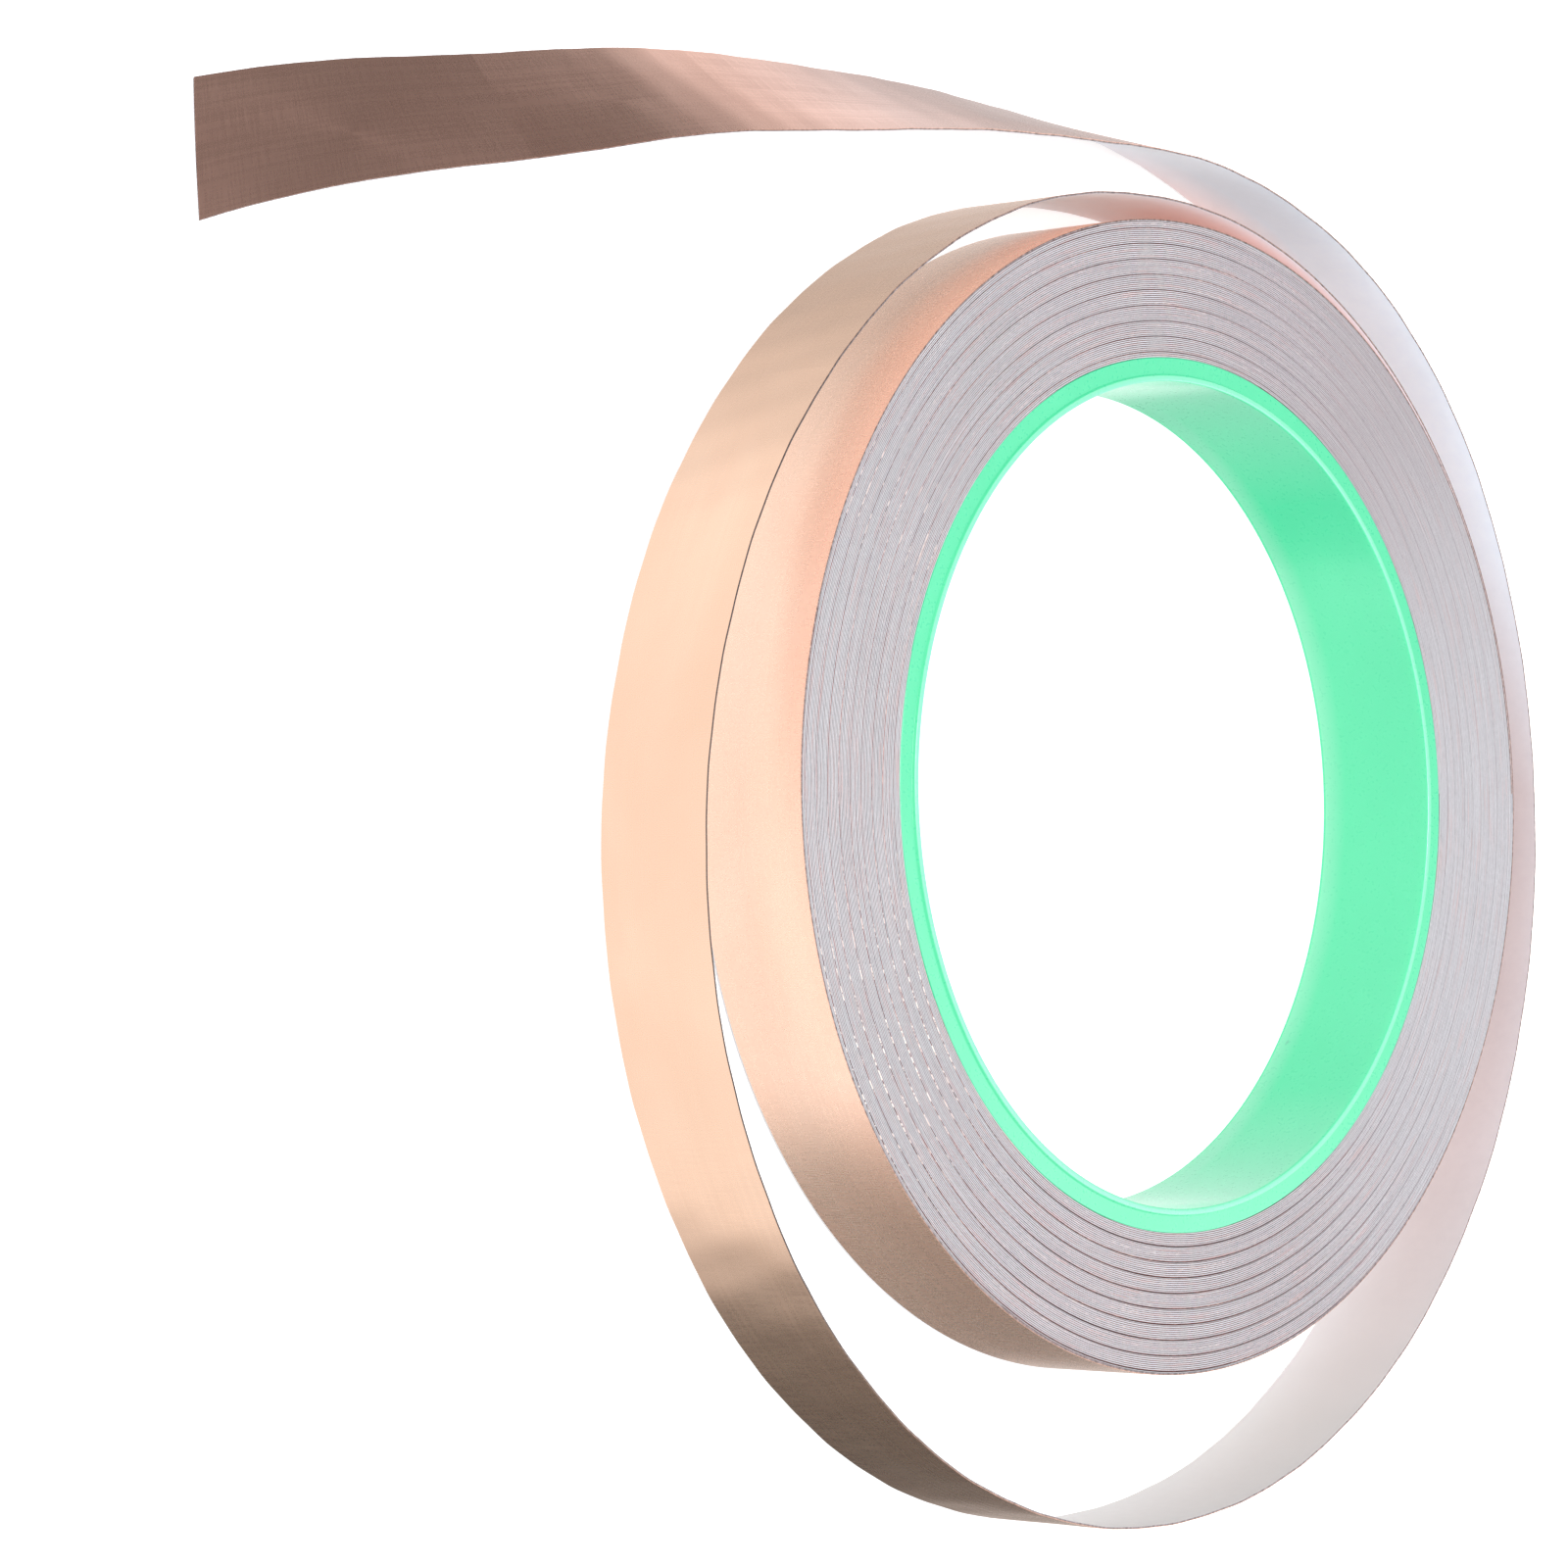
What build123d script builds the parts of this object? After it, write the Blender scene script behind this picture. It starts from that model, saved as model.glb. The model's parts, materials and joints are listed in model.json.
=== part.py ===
from build123d import *
import math
import os

import numpy as np

# A roll of copper foil tape, lying flat, with its outer turn sprung loose and a free tail.
# +Z is the axis of the core, and the origin is the centre of the bore, half way up the roll.
# Going anticlockwise seen from +Z, the tape leaves the pack, circles it once, passes over its own
# start and runs off towards -X, where it leans over with its copper face up. All sizes are millimetres.

# Plastic core
BORE_RADIUS = 38.0
CORE_RADIUS = 40.2
CORE_WIDTH = 12.6
BORE_CHAMFER_RADIAL = 0.7
BORE_CHAMFER_AXIAL = 0.5
OUTER_CHAMFER = 0.15

# Tape: three layers, listed from the inner face outwards
TAPE_WIDTH = 12.0
LAYERS = [("liner", 0.09), ("adhesive", 0.04), ("foil", 0.05)]
THICKNESS = sum(thickness for name, thickness in LAYERS)

# Wound pack: about 70 turns of the real tape, drawn as thick turns with their layers in the same proportions.
# The thick turns are cut off by a circle at the core and by the last tight turn, which has its real
# thickness.
PACK_PITCH = 1.42
PACK_SPIRAL_RADIUS = 38.98
PACK_INNER_RADIUS = 40.25
PACK_OUTER_RADIUS = 52.68
# Quarter turns at which each layer of the thick turns begins and ends, where it is thick enough for a
# blunt end
PACK_QUARTERS = {"liner": (2, 38), "adhesive": (1, 36), "foil": (0, 35)}

# Last tight turn and loose tape: angle round the roll in degrees, radius of the lower edge, and lean from
# upright in degrees
LOOSE_STATIONS = [
    (-360, 52.70, 0), (-180, 52.81, 0), (0, 52.94, 0), (40, 53.0, 0), (60, 53.4, 0),
    (75, 54.0, 0), (90, 54.7, 0), (110, 56.4, 0), (135, 59.1, 0), (160, 62.2, 0), (185, 65.0, 0),
    (210, 67.1, 0), (235, 68.0, 0), (260, 67.0, 0),
    (285, 64.6, 0), (310, 61.3, 0), (335, 58.3, 0), (360, 56.7, 0), (385, 57.0, 0), (410, 58.5, 1),
    (430, 60.0, 6), (448, 62.1, 14), (462, 65.2, 22), (474, 70.7, 29), (484, 77.9, 37),
    (493, 87.4, 43), (503, 101.5, 51), (516, 131.2, 62),
]

# Where the loose tape bends: one angle per hinge line, and where it ends
LOOP_HINGES = [75, 120, 165, 210, 255, 300, 345, 390]
TAIL_HINGES = [435, 480, 499]
TIP_HINGE = 505
TAPE_END = 512.6
BEND_GAP = 0.2
TIP_CLEARANCE = 0.1

# The free end is cut at a slant: its upper corner reaches this much further round than its lower one
SLANT_START = 490
SLANT_ANGLE = 2.45

SAMPLE_STEP = 3.0


def natural_spline(knots, values):
    """The cubic curve with continuous curvature through the given values, as a function."""
    knots = np.array(knots, float)
    values = np.array(values, float)
    spans = np.diff(knots)
    slopes = np.diff(values) / spans
    matrix = np.eye(len(knots))
    target = np.zeros(len(knots))
    for i in range(1, len(knots) - 1):
        matrix[i, i - 1:i + 2] = spans[i - 1], 2 * (spans[i - 1] + spans[i]), spans[i]
        target[i] = 3 * (slopes[i] - slopes[i - 1])
    bends = np.linalg.solve(matrix, target)

    def value_at(position):
        i = int(np.clip(np.searchsorted(knots, position) - 1, 0, len(spans) - 1))
        along = position - knots[i]
        slope = slopes[i] - spans[i] * (2 * bends[i] + bends[i + 1]) / 3
        growth = (bends[i + 1] - bends[i]) / (3 * spans[i])
        return values[i] + slope * along + bends[i] * along ** 2 + growth * along ** 3

    return value_at


loose_radius = natural_spline([s[0] for s in LOOSE_STATIONS], [s[1] for s in LOOSE_STATIONS])
loose_lean = natural_spline([s[0] for s in LOOSE_STATIONS], [s[2] for s in LOOSE_STATIONS])


def lower_edge(angle):
    """Point of the loose tape's lower edge at an angle round the roll."""
    turned = math.radians(angle)
    radius = loose_radius(angle)
    return Vector(radius * math.cos(turned), radius * math.sin(turned), -TAPE_WIDTH / 2)


def loose_frame(angle):
    """Lower edge point, direction across the tape, and direction its copper face looks."""
    step = 0.01
    travel = (lower_edge(angle + step) - lower_edge(angle - step)).normalized()
    outward = travel.cross(Vector(0, 0, 1))
    lean = math.radians(loose_lean(angle))
    across = Vector(0, 0, 1) * math.cos(lean) - outward * math.sin(lean)
    return lower_edge(angle), across, travel.cross(across)


def loose_point(angle, height, depth):
    """Point of the loose tape at a height up its width and a depth through its thickness."""
    slant = max(0.0, (angle - SLANT_START) / (TAPE_END - SLANT_START)) ** 2 * SLANT_ANGLE
    foot, across, face = loose_frame(angle + slant * height / TAPE_WIDTH)
    return foot + across * height + face * depth


def ruled_solid(corner_paths):
    """Closed solid between four long edges, each a list of points, taken in order round its section."""
    edges = [Edge.make_spline(points) for points in corner_paths]
    faces = [Face.make_surface_from_curves(edges[i], edges[(i + 1) % 4]) for i in range(4)]
    for end in (0, -1):
        corners = [points[end] for points in corner_paths]
        near = Edge.make_line(corners[0], corners[1])
        far = Edge.make_line(corners[3], corners[2])
        faces.append(Face.make_surface_from_curves(near, far))
    return Solid(Shell(faces))


def strip(start, end, inner, outer):
    """One layer of the loose tape between two angles, from depth inner to depth outer."""
    count = max(5, math.ceil((end - start) / SAMPLE_STEP) + 1)
    angles = [start + (end - start) * i / (count - 1) for i in range(count)]
    section = [(0, inner), (TAPE_WIDTH, inner), (TAPE_WIDTH, outer), (0, outer)]
    return ruled_solid([[loose_point(a, height, depth) for a in angles] for height, depth in section])


def half_gap(angle):
    """Half the gap at a bend line, as an angle round the roll."""
    speed = (lower_edge(angle + 0.5) - lower_edge(angle - 0.5)).length
    return BEND_GAP / 2 / speed


def strip_between(start, end, inner, outer, free_end=False, from_pack=False):
    """One layer between two bend lines, kept back from each by half the gap."""
    first = start if from_pack else start + half_gap(start)
    last = end if free_end else end - half_gap(end)
    return strip(first, last, inner, outer)


def layer_depths():
    """(name, inner depth, outer depth) of each layer."""
    depth = 0.0
    for name, thickness in LAYERS:
        yield name, depth, depth + thickness
        depth += thickness


def core():
    """Plastic ring that the tape is wound on, with an eased edge each side of the bore."""
    half = CORE_WIDTH / 2
    profile = Polyline(
        (BORE_RADIUS, 0, half - BORE_CHAMFER_AXIAL),
        (BORE_RADIUS + BORE_CHAMFER_RADIAL, 0, half),
        (CORE_RADIUS - OUTER_CHAMFER, 0, half),
        (CORE_RADIUS, 0, half - OUTER_CHAMFER),
        (CORE_RADIUS, 0, -half + OUTER_CHAMFER),
        (CORE_RADIUS - OUTER_CHAMFER, 0, -half),
        (BORE_RADIUS + BORE_CHAMFER_RADIAL, 0, -half),
        (BORE_RADIUS, 0, -half + BORE_CHAMFER_AXIAL),
        close=True,
    )
    return revolve(Face(Wire(profile.edges())), Axis.Z)


def spiral(first_radius, first_quarter, last_quarter):
    """Quarter circles from +X anticlockwise, whose radius and centre step by half a pitch each half turn."""
    growth = PACK_PITCH / 2
    arcs = []
    for quarter in range(first_quarter, last_quarter):
        half_turn = quarter // 2
        centre = Vector(growth * (half_turn % 2), 0, 0)
        radius = first_radius + growth * half_turn
        ends = [centre + Vector(radius, 0, 0).rotate(Axis.Z, 90 * quarter + turned) for turned in (0, 45, 90)]
        arcs.append(Edge.make_three_point_arc(*ends))
    return arcs


def winding(layer, inner, outer):
    """One layer of the wound pack, from depth inner to depth outer of the real tape."""
    thicker = PACK_PITCH / THICKNESS
    quarters = PACK_QUARTERS[layer]
    inside = spiral(PACK_SPIRAL_RADIUS + inner * thicker, *quarters)
    outside = spiral(PACK_SPIRAL_RADIUS + outer * thicker, *quarters)
    start = Edge.make_line(inside[0] @ 0, outside[0] @ 0)
    end = Edge.make_line(inside[-1] @ 1, outside[-1] @ 1)
    turns = make_face(inside + [end] + outside + [start])
    ring = Circle(PACK_OUTER_RADIUS) - Circle(PACK_INNER_RADIUS)
    return Pos(0, 0, -TAPE_WIDTH / 2) * extrude(turns & ring, TAPE_WIDTH, dir=(0, 0, 1))


def build_parts():
    """Every piece by name."""
    parts = {"core": core()}
    bends = LOOP_HINGES + TAIL_HINGES
    spans = [(f"loop_{i + 1}", bends[i], bends[i + 1]) for i in range(len(LOOP_HINGES))]
    spans += [("tail_1", bends[-3], bends[-2]), ("tail_2", bends[-2], bends[-1])]
    for layer, inner, outer in layer_depths():
        parts[f"winding_{layer}"] = winding(layer, inner, outer)
        parts[f"last_turn_{layer}"] = strip(LOOSE_STATIONS[0][0], 0, inner, outer)
        parts[f"lead_{layer}"] = strip_between(0, bends[0], inner, outer, from_pack=True)
        for name, start, end in spans:
            parts[f"{name}_{layer}"] = strip_between(start, end, inner, outer)
    for layer, inner, outer in layer_depths():
        if layer == "liner":
            parts["tail_3_liner"] = strip_between(bends[-1], TAPE_END, inner, outer, free_end=True)
        else:
            parts[f"tail_3_{layer}"] = strip_between(bends[-1], TIP_HINGE, inner, outer)
            raised = (inner + TIP_CLEARANCE, outer + TIP_CLEARANCE)
            parts[f"tip_{layer}"] = strip_between(TIP_HINGE, TAPE_END, *raised, free_end=True)
    return parts


PARTS = build_parts()
os.makedirs("parts", exist_ok=True)
for node, shape in PARTS.items():
    export_step(shape, f"parts/{node}.step")
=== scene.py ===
import json
import math

import bpy
import numpy as np
from mathutils import Matrix, Vector


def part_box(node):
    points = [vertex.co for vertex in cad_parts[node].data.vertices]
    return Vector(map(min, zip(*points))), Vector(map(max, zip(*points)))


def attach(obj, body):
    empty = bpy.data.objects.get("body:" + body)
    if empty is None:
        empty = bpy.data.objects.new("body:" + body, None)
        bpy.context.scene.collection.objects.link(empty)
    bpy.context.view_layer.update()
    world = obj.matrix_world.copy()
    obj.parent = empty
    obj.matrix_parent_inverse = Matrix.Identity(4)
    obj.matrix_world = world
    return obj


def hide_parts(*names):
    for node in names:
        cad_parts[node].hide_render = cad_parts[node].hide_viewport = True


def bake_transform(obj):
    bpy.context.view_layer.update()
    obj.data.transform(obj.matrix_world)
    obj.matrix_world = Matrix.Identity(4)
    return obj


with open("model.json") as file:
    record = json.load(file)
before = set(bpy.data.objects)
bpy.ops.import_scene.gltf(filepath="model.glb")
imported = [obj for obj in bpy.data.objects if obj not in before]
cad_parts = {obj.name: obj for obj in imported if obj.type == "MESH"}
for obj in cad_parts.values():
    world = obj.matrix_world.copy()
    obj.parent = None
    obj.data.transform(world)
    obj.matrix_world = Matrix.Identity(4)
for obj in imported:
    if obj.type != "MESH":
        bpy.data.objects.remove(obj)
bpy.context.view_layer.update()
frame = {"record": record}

# ---------------------------------------------------------------------------------------------------------
# Sizes, in metres, from the frame
# ---------------------------------------------------------------------------------------------------------
MM = 0.001
RECORD = frame["record"]
MOUNTS = {mount["name"]: mount for mount in RECORD["mounts"]}
BORE_RADIUS = MOUNTS["bore"]["dims"]["r_mm"] * MM
CORE_LOW, CORE_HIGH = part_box("core")
CORE_RADIUS = CORE_HIGH.x
TABLE = CORE_LOW.z
TAPE_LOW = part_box("last_turn_liner")[0].z
TAPE_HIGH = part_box("last_turn_liner")[1].z
TAPE_WIDTH = TAPE_HIGH - TAPE_LOW

# The tape's layers from the inner face outwards: name, inner depth and outer depth
LAYERS = [("liner", 0.0, 0.09 * MM), ("adhesive", 0.09 * MM, 0.13 * MM), ("foil", 0.13 * MM, 0.18 * MM)]
THICKNESS = LAYERS[-1][2]

# Last tight turn and loose tape: angle round the roll in degrees, radius of the lower edge in
# millimetres, and lean from upright in degrees
LOOSE_STATIONS = [
    (-360, 52.70, 0), (-180, 52.81, 0), (0, 52.94, 0), (40, 53.0, 0), (60, 53.4, 0),
    (75, 54.0, 0), (90, 54.7, 0), (110, 56.4, 0), (135, 59.1, 0), (160, 62.2, 0), (185, 65.0, 0),
    (210, 67.1, 0), (235, 68.0, 0), (260, 67.0, 0),
    (285, 64.6, 0), (310, 61.3, 0), (335, 58.3, 0), (360, 56.7, 0), (385, 57.0, 0), (410, 58.5, 1),
    (430, 60.0, 6), (448, 62.1, 14), (462, 65.2, 22), (474, 70.7, 29), (484, 77.9, 37),
    (493, 87.4, 43), (503, 101.5, 51), (516, 131.2, 62),
]
TAPE_START = -360
TAPE_END = 512.6

# The free end is cut at a slant: the cut begins to show in the strip's rows at one angle, and its upper end
# runs ahead of its lower end by the other
SLANT_START = 490
SLANT_ANGLE = 2.45

# Angle at which the last tight turn's piece hands over to the loose tape
WOUND_END = 30

# The loose tape's ripples: height in millimetres, radians per metre along it and up it, and start. Then the angle
# where they set in and the angle over which they grow
RIPPLES = [(0.030, 260, 90, 1.0), (0.022, 610, -240, 2.3), (0.014, 1270, 410, 0.4)]
RIPPLE_START = 45
RIPPLE_SPAN = 60

# Points that measure the tape's length
LENGTH_SAMPLES = 6000

# Bend lines of the strip, as angles, and the body before the first and after each of them
BENDS = [75, 120, 165, 210, 255, 300, 345, 390, 435, 480, 499, 505]
BODIES = ["root"] + [f"loop_{i}" for i in range(1, 9)] + ["tail_1", "tail_2", "tail_3", "tip"]

# Where the tail turns over: the copper shows greyer from the first to the last of these angles
TWIST = (440, 456, 477, 489)

rng = np.random.default_rng(11)


# ---------------------------------------------------------------------------------------------------------
# Shape helpers
# ---------------------------------------------------------------------------------------------------------
def natural_spline(knots, values):
    """The cubic curve with continuous curvature through the given values, as a function of an array."""
    knots = np.array(knots, float)
    values = np.array(values, float)
    spans = np.diff(knots)
    slopes = np.diff(values) / spans
    matrix = np.eye(len(knots))
    target = np.zeros(len(knots))
    for i in range(1, len(knots) - 1):
        matrix[i, i - 1:i + 2] = spans[i - 1], 2 * (spans[i - 1] + spans[i]), spans[i]
        target[i] = 3 * (slopes[i] - slopes[i - 1])
    bends = np.linalg.solve(matrix, target)

    def values_at(positions):
        positions = np.asarray(positions, float)
        i = np.clip(np.searchsorted(knots, positions) - 1, 0, len(spans) - 1)
        along = positions - knots[i]
        slope = slopes[i] - spans[i] * (2 * bends[i] + bends[i + 1]) / 3
        growth = (bends[i + 1] - bends[i]) / (3 * spans[i])
        return values[i] + slope * along + bends[i] * along ** 2 + growth * along ** 3

    return values_at


loose_radius = natural_spline([s[0] for s in LOOSE_STATIONS], [s[1] * MM for s in LOOSE_STATIONS])
loose_lean = natural_spline([s[0] for s in LOOSE_STATIONS], [s[2] for s in LOOSE_STATIONS])


def lower_edge(angles):
    """Points of the tape's lower edge at angles round the roll, in degrees."""
    turned = np.radians(angles)
    radius = loose_radius(angles)
    return np.stack([radius * np.cos(turned), radius * np.sin(turned), np.full_like(radius, TAPE_LOW)], -1)


def loose_frame(angles):
    """Lower edge points, directions across the tape, and directions its copper face looks."""
    step = 0.01
    travel = lower_edge(angles + step) - lower_edge(angles - step)
    travel /= np.linalg.norm(travel, axis=-1, keepdims=True)
    up = np.array([0.0, 0.0, 1.0])
    outward = np.cross(travel, up)
    lean = np.radians(loose_lean(angles))[..., None]
    across = up * np.cos(lean) - outward * np.sin(lean)
    return lower_edge(angles), across, np.cross(travel, across)


def ripple(distance, height):
    """Small waves in the loose strip, out of its plane, the same for all its layers."""
    wave = sum(size * np.sin(distance * along + height * up + start) for size, along, up, start in RIPPLES)
    return wave * MM


def tape_length(angles):
    """Distance along the lower edge from the tape's first shown point, at angles round the roll."""
    fine = np.linspace(TAPE_START, TAPE_END + 5, LENGTH_SAMPLES)
    points = lower_edge(fine)
    travelled = np.concatenate([[0], np.cumsum(np.linalg.norm(np.diff(points, axis=0), axis=1))])
    return np.interp(angles, fine, travelled)


def loose_points(angles, heights, depth):
    """Points of the strip at angles, heights up its width and one depth, as an array of both."""
    angles = angles[:, None] + 0 * heights[None, :]
    heights = heights[None, :] + 0 * angles
    slant = np.maximum(0, (angles - SLANT_START) / (TAPE_END - SLANT_START)) ** 2 * SLANT_ANGLE
    foot, across, face = loose_frame(angles + slant * heights / TAPE_WIDTH)
    distance = tape_length(angles)
    loose = np.clip((angles - RIPPLE_START) / RIPPLE_SPAN, 0, 1)
    depth = depth + loose * ripple(distance, heights)
    return foot + across * heights[..., None] + face * depth[..., None], distance


def mesh_object(name, vertices, faces, material, uv=None, smooth=True, edge=None, is_edge=None):
    """A mesh object from points and faces, with a uv in metres and a second material for edge faces if given."""
    mesh = bpy.data.meshes.new(name)
    mesh.from_pydata([tuple(v) for v in vertices], [], faces)
    if uv is not None:
        layer = mesh.uv_layers.new(name="tape")
        corner = np.empty(len(mesh.loops), dtype=np.int64)
        mesh.loops.foreach_get("vertex_index", corner)
        layer.data.foreach_set("uv", np.asarray(uv, np.float32)[corner].ravel())
    mesh.polygons.foreach_set("use_smooth", [smooth] * len(mesh.polygons))
    mesh.materials.append(material)
    if edge is not None:
        mesh.materials.append(edge)
        mesh.polygons.foreach_set("material_index", [int(flag) for flag in is_edge])
    mesh.validate()
    mesh.update()
    made = bpy.data.objects.new(name, mesh)
    bpy.context.scene.collection.objects.link(made)
    return made


def tube_faces(rings, ring_size):
    """Quads between rings of points that each close on themselves, with a face at each end."""
    faces = []
    for i in range(rings - 1):
        for j in range(ring_size):
            k = (j + 1) % ring_size
            faces.append((i * ring_size + j, i * ring_size + k, (i + 1) * ring_size + k, (i + 1) * ring_size + j))
    faces.append(tuple(range(ring_size))[::-1])
    faces.append(tuple((rings - 1) * ring_size + j for j in range(ring_size)))
    return faces


# ---------------------------------------------------------------------------------------------------------
# Materials
# ---------------------------------------------------------------------------------------------------------
class Nodes:
    """Short ways to add shader nodes to one material."""

    def __init__(self, name):
        self.material = bpy.data.materials.new(name)
        self.material.use_nodes = True
        self.tree = self.material.node_tree
        self.shader = self.tree.nodes["Principled BSDF"]

    def add(self, kind, **settings):
        node = self.tree.nodes.new(kind)
        for key, value in settings.items():
            setattr(node, key, value)
        return node

    def link(self, source, target):
        self.tree.links.new(source, target)

    def mapped(self, scale, uv="tape"):
        """Coordinates stretched by a scale, from the tape's uv or from the object."""
        if uv:
            source = self.add("ShaderNodeUVMap", uv_map=uv).outputs["UV"]
        else:
            source = self.add("ShaderNodeTexCoord").outputs["Object"]
        mapping = self.add("ShaderNodeMapping")
        mapping.inputs["Scale"].default_value = scale
        self.link(source, mapping.inputs["Vector"])
        return mapping.outputs["Vector"]

    def noise(self, vector, detail=2.0, roughness=0.5, distortion=0.0):
        node = self.add("ShaderNodeTexNoise")
        node.inputs["Scale"].default_value = 1.0
        node.inputs["Detail"].default_value = detail
        node.inputs["Roughness"].default_value = roughness
        node.inputs["Distortion"].default_value = distortion
        self.link(vector, node.inputs["Vector"])
        return node.outputs["Fac"]

    def ramp(self, source, stops):
        """A colour ramp from (position, colour) stops."""
        node = self.add("ShaderNodeValToRGB")
        ramp = node.color_ramp
        while len(ramp.elements) > 1:
            ramp.elements.remove(ramp.elements[0])
        ramp.elements[0].position = stops[0][0]
        ramp.elements[0].color = (*stops[0][1], 1)
        for position, colour in stops[1:]:
            ramp.elements.new(position).color = (*colour, 1)
        self.link(source, node.inputs["Fac"])
        return node.outputs["Color"]

    def spread(self, source, low, high, from_low=0.3, from_high=0.7):
        """A number range from a source's range."""
        node = self.add("ShaderNodeMapRange")
        node.inputs["From Min"].default_value = from_low
        node.inputs["From Max"].default_value = from_high
        node.inputs["To Min"].default_value = low
        node.inputs["To Max"].default_value = high
        self.link(source, node.inputs["Value"])
        return node.outputs["Result"]

    def math(self, operation, *sources):
        node = self.add("ShaderNodeMath", operation=operation)
        for i, source in enumerate(sources):
            self.link(source, node.inputs[i])
        return node.outputs["Value"]

    def sum_of(self, first, second):
        return self.math("ADD", first, second)

    def times(self, first, second):
        return self.math("MULTIPLY", first, second)

    def bump(self, height, distance, strength=1.0):
        node = self.add("ShaderNodeBump")
        node.inputs["Strength"].default_value = strength
        node.inputs["Distance"].default_value = distance
        self.link(height, node.inputs["Height"])
        self.link(node.outputs["Normal"], self.shader.inputs["Normal"])

    def uv_part(self, axis, low, high):
        """How far one axis of the uv has gone from low to high."""
        source = self.add("ShaderNodeUVMap", uv_map="tape").outputs["UV"]
        split = self.add("ShaderNodeSeparateXYZ")
        self.link(source, split.inputs["Vector"])
        return self.spread(split.outputs["X" if axis == "U" else "Y"], 0.0, 1.0, low, high)

    def along_tape(self, start, end):
        """How far the tape has gone from one angle round the roll to another, from 0 to 1."""
        lengths = tape_length(np.array([min(start, end), max(start, end)], float))
        if start > end:
            lengths = lengths[::-1]
        return self.uv_part("U", float(lengths[0]), float(lengths[1]))

    def mixed(self, factor, first, second):
        """One colour going over to another by a factor. The second one may be a plain colour."""
        node = self.add("ShaderNodeMix", data_type="RGBA")
        self.link(factor, node.inputs["Factor"])
        self.link(first, node.inputs["A"])
        if isinstance(second, tuple):
            node.inputs["B"].default_value = (*second, 1)
        else:
            self.link(second, node.inputs["B"])
        return node.outputs["Result"]

    def value(self, name):
        """A number stored on the points of the object."""
        return self.add("ShaderNodeAttribute", attribute_name=name).outputs["Fac"]

    def set(self, **values):
        for name, value in values.items():
            self.shader.inputs[name.replace("_", " ")].default_value = value


def copper_material():
    """Satin rolled copper: fine grain across the tape, cloudy tone, faint rolling lines along it.

    The tight turn is a pinker, duller copy of the copper, a painted reflection of the copper that faces it, with a
    painted salmon reflection along its upper edge that shines by emission. The tail is browner, and greyer where it
    turns over."""
    n = Nodes("copper_foil")
    grain = n.noise(n.mapped((5200, 320, 1)), detail=3, roughness=0.6)
    rolled = n.noise(n.mapped((30, 2600, 1)), detail=2)
    cloud = n.noise(n.mapped((55, 90, 1)), detail=3, distortion=0.6)
    loop = n.ramp(cloud, [(0.30, (0.865, 0.585, 0.43)), (0.55, (0.89, 0.61, 0.455)), (0.75, (0.905, 0.64, 0.48))])
    # Painted reflection: the tight turn is a pinker copy of the copper, for the copper mirrored in it.
    tight = n.ramp(cloud, [(0.30, (0.89, 0.60, 0.46)), (0.55, (0.91, 0.63, 0.49)), (0.75, (0.92, 0.66, 0.52))])
    tail = n.ramp(cloud, [(0.30, (0.84, 0.495, 0.395)), (0.55, (0.88, 0.53, 0.425)), (0.75, (0.92, 0.57, 0.46))])
    leaving = n.along_tape(20, 70)
    twist = n.times(n.along_tape(TWIST[0], TWIST[1]), n.along_tape(TWIST[3], TWIST[2]))
    colour = n.mixed(n.along_tape(425, 450), n.mixed(leaving, tight, loop), tail)
    colour = n.mixed(twist, colour, (0.62, 0.42, 0.37))
    n.link(colour, n.shader.inputs["Base Color"])
    # Painted reflection: the tight turn is less metallic, so it looks duller and pinker.
    n.link(n.spread(leaving, 0.74, 1.0, 0.0, 1.0), n.shader.inputs["Metallic"])
    # Painted reflection: a salmon stripe along the tight turn's upper edge, shining by emission.
    pink_tint_and_painted_reflection = n.times(n.along_tape(-135, -165), n.uv_part("V", 0.005, 0.0115))
    n.link(n.spread(pink_tint_and_painted_reflection, 0.0, 0.26, 0.0, 1.0), n.shader.inputs["Emission Strength"])
    rough = n.sum_of(n.spread(grain, -0.025, 0.025), n.spread(rolled, 0.26, 0.30))
    n.link(rough, n.shader.inputs["Roughness"])
    n.bump(grain, 0.0000025, 0.2)
    # The emission colour is that of the painted salmon reflection.
    n.set(Emission_Color=(1.0, 0.46, 0.33, 1), Anisotropic=0.3)
    return n.material


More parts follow.
